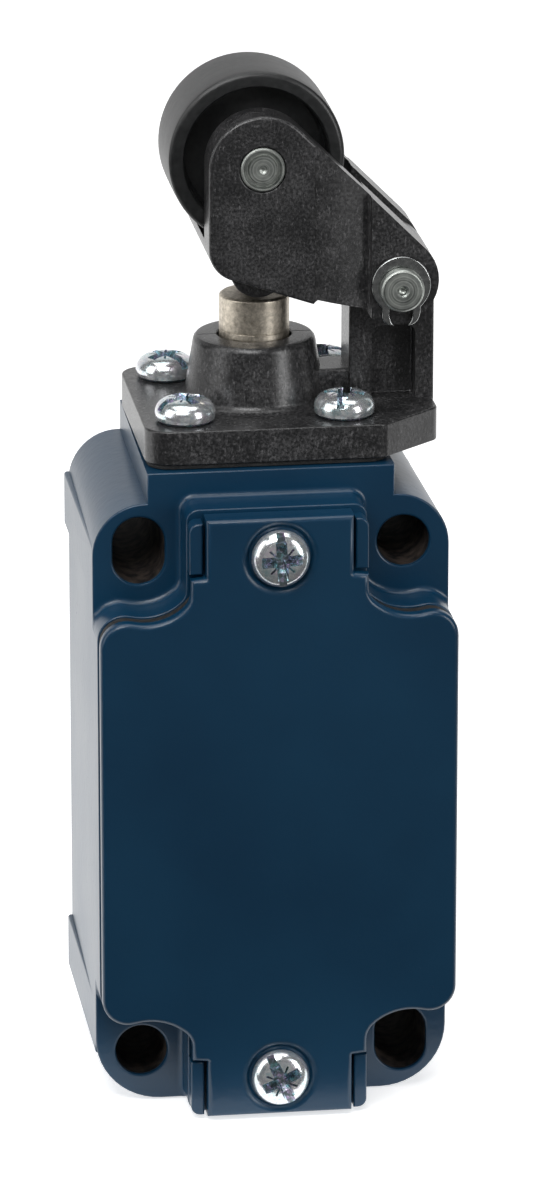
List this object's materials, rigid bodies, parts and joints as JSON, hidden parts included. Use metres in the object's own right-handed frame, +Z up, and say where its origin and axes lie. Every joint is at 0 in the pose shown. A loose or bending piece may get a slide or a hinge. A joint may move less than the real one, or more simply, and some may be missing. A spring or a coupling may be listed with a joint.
{
  "type": "limit switch",
  "caption": "Limit switch with a metal housing, screwed cover and cable entry, whose spring-returned roller lever presses a plunger that works the contact block inside.",
  "frame": {"origin": "centre of the four mounting holes, on the back face of the housing", "axes": "+Y points back into the mounting surface, +Z points up towards the roller, +X is right seen from the cover side"},
  "size_m": [0.0406, 0.0396, 0.1185],
  "materials": {
    "navy_paint": "semi-gloss powder paint with a fine orange peel",
    "black_rubber": "matt black sealing rubber",
    "head_plastic": "black glass-filled plastic with a fine mottled fleck",
    "roller_plastic": "black satin turned plastic",
    "pin_steel": "turned steel with concentric marks",
    "plunger_steel": "ground steel, warm grey",
    "zinc_plate": "bright blue-passivated zinc",
    "bronze": "sintered bronze",
    "spring_steel": "bright drawn spring wire and strip",
    "block_moulding": "dark green thermoset moulding",
    "pale_moulding": "pale cream moulded plastic",
    "contact_brass": "stamped brass strip",
    "contact_silver": "silver-plated strip"
  },
  "bodies": {
    "body": {"housing": "navy_paint", "cover": "navy_paint", "cover_gasket": "black_rubber", "head_gasket": "black_rubber", "plunger_seal": "black_rubber", "cover_screw_top": "zinc_plate", "cover_screw_bottom": "zinc_plate", "head_screw_1": "zinc_plate", "head_screw_2": "zinc_plate", "head_screw_3": "zinc_plate", "head_screw_4": "zinc_plate", "actuator_head": "head_plastic", "guide_bush": "bronze", "plunger_spring": "spring_steel", "pivot_clip": "spring_steel", "carriage_spring": "spring_steel", "pivot_pin": "pin_steel", "contact_block": "block_moulding", "contact_block_cover": "pale_moulding", "fixed_contact_opening_left": "contact_brass", "fixed_contact_opening_right": "contact_brass", "fixed_contact_closing_left": "contact_brass", "fixed_contact_closing_right": "contact_brass", "terminal_clamp_opening_left": "zinc_plate", "terminal_clamp_opening_right": "zinc_plate", "terminal_clamp_closing_left": "zinc_plate", "terminal_clamp_closing_right": "zinc_plate", "terminal_screw_opening_left": "zinc_plate", "terminal_screw_opening_right": "zinc_plate", "terminal_screw_closing_left": "zinc_plate", "terminal_screw_closing_right": "zinc_plate", "block_screw_left": "zinc_plate", "block_screw_right": "zinc_plate", "earth_clamp": "zinc_plate", "earth_screw": "zinc_plate"},
    "lever": {"roller_lever": "head_plastic", "roller_pin": "pin_steel"},
    "roller": {"roller": "roller_plastic"},
    "plunger": {"plunger": "plunger_steel"},
    "carriage": {"contact_carriage": "pale_moulding", "bridge_opening": "contact_silver", "bridge_closing": "contact_silver", "bridge_spring_opening": "spring_steel", "bridge_spring_closing": "spring_steel"}
  },
  "joints": [
    {"name": "lever_tilt", "type": "hinge", "parent": "body", "child": "lever", "pos_m": [0.0153, -0.0157, 0.0582], "axis": [0, -1, 0], "range_deg": [0, 18], "stiffness_Nm_per_rad": 0.3, "springref_deg": -5.73},
    {"name": "roller_spin", "type": "hinge", "parent": "lever", "child": "roller", "pos_m": [-0.00035, -0.0157, 0.07245], "axis": [0, 1, 0], "continuous": true},
    {"name": "plunger_slide", "type": "slide", "parent": "body", "child": "plunger", "axis": [0, 0, -1], "range_m": [0, 0.0049], "deforming": ["plunger_spring"]},
    {"name": "carriage_slide", "type": "slide", "parent": "body", "child": "carriage", "axis": [0, 0, -1], "range_m": [0, 0.0049], "deforming": ["carriage_spring"]}
  ],
  "couplings": [
    {"joint": "plunger_slide", "follows": "lever_tilt", "m_per_rad": 0.015279},
    {"joint": "carriage_slide", "follows": "lever_tilt", "m_per_rad": 0.015279}
  ]
}
